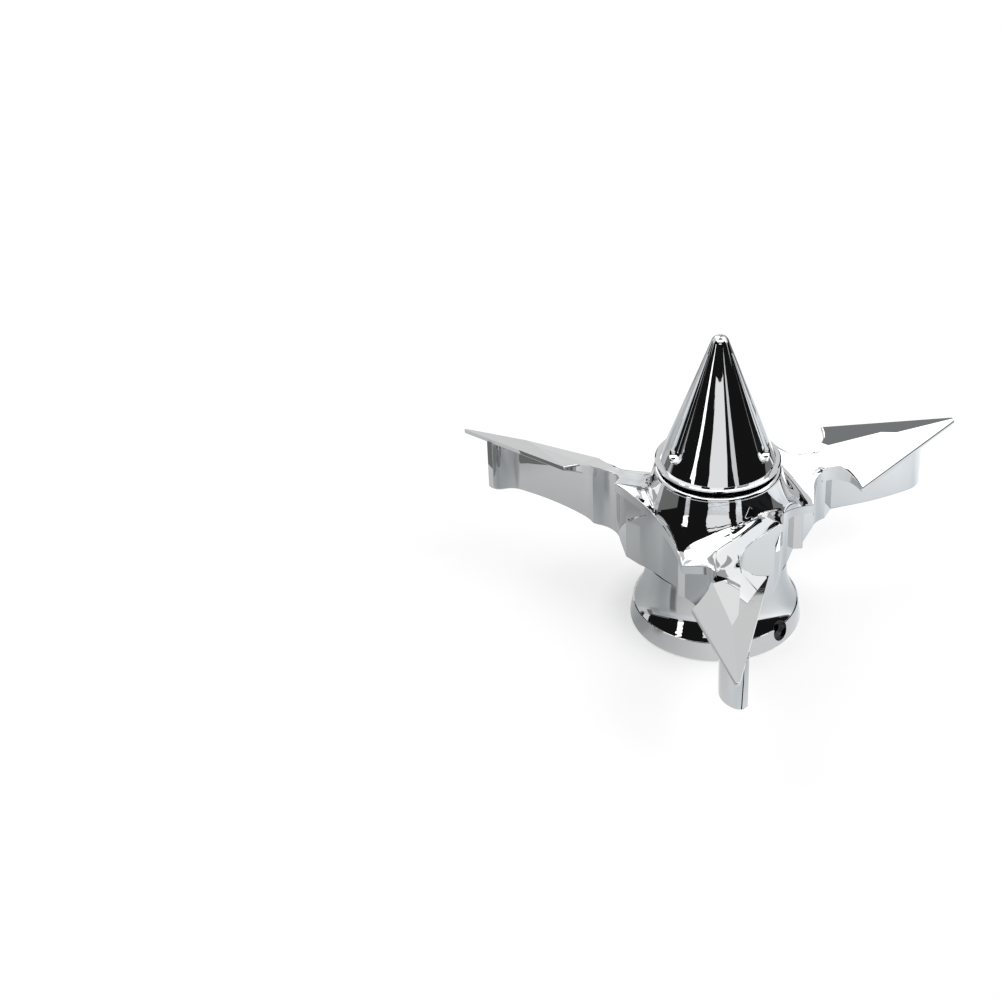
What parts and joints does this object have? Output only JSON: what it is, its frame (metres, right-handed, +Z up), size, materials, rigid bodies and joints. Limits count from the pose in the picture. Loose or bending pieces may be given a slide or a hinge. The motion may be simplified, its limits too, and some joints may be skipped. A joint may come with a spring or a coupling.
{
  "type": "axle nut cover",
  "caption": "Chromed axle nut cover with a freely spinning rotor of dagger blades, a fluted nose cone and a flared base cup held by grub screws.",
  "frame": {"origin": "centre of the socket's mouth, on the plane of the base cup's foot", "axes": "+Z up along the spindle to the nose cone's tip, one blade along -Y, the others towards +X and -X"},
  "size_m": [0.1304, 0.1129, 0.0818],
  "materials": {
    "rotor_chrome": "polished chrome plating",
    "cone_chrome": "polished chrome plating",
    "cup_chrome": "polished chrome plating",
    "plain_steel": "zinc plated steel",
    "dark_steel": "blackened steel",
    "spring_steel": "phosphated spring steel",
    "bearing_steel": "ground bearing steel",
    "ball_steel": "lapped bearing balls",
    "shield_steel": "pressed sheet steel",
    "cage_plastic": "moulded polyamide, natural"
  },
  "bodies": {
    "base_unit": {"base_cup": "cup_chrome", "grub_screw_1": "dark_steel", "grub_screw_2": "dark_steel", "spindle_bolt": "plain_steel", "bearing_sleeve": "plain_steel", "nose_cone": "cone_chrome", "lower_inner_ring": "bearing_steel", "upper_inner_ring": "bearing_steel"},
    "rotor_unit": {"rotor": "rotor_chrome", "retaining_ring": "spring_steel", "lower_outer_ring": "bearing_steel", "lower_shield_bottom": "shield_steel", "lower_shield_top": "shield_steel", "upper_outer_ring": "bearing_steel", "upper_shield_bottom": "shield_steel", "upper_shield_top": "shield_steel"},
    "lower_cage_unit": {"lower_cage": "cage_plastic", "lower_ball_1": "ball_steel", "lower_ball_2": "ball_steel", "lower_ball_3": "ball_steel", "lower_ball_4": "ball_steel", "lower_ball_5": "ball_steel", "lower_ball_6": "ball_steel", "lower_ball_7": "ball_steel"},
    "upper_cage_unit": {"upper_cage": "cage_plastic", "upper_ball_1": "ball_steel", "upper_ball_2": "ball_steel", "upper_ball_3": "ball_steel", "upper_ball_4": "ball_steel", "upper_ball_5": "ball_steel", "upper_ball_6": "ball_steel", "upper_ball_7": "ball_steel"}
  },
  "joints": [
    {"name": "rotor_spin", "type": "hinge", "parent": "base_unit", "child": "rotor_unit", "pos_m": [0, 0, 0.0325], "axis": [0, 0, 1], "continuous": true},
    {"name": "lower_cage_roll", "type": "hinge", "parent": "base_unit", "child": "lower_cage_unit", "pos_m": [0, 0, 0.026], "axis": [0, 0, 1], "continuous": true},
    {"name": "upper_cage_roll", "type": "hinge", "parent": "base_unit", "child": "upper_cage_unit", "pos_m": [0, 0, 0.039], "axis": [0, 0, 1], "continuous": true}
  ],
  "couplings": [
    {"joint": "lower_cage_roll", "follows": "rotor_spin", "ratio": 0.632},
    {"joint": "upper_cage_roll", "follows": "rotor_spin", "ratio": 0.632}
  ]
}
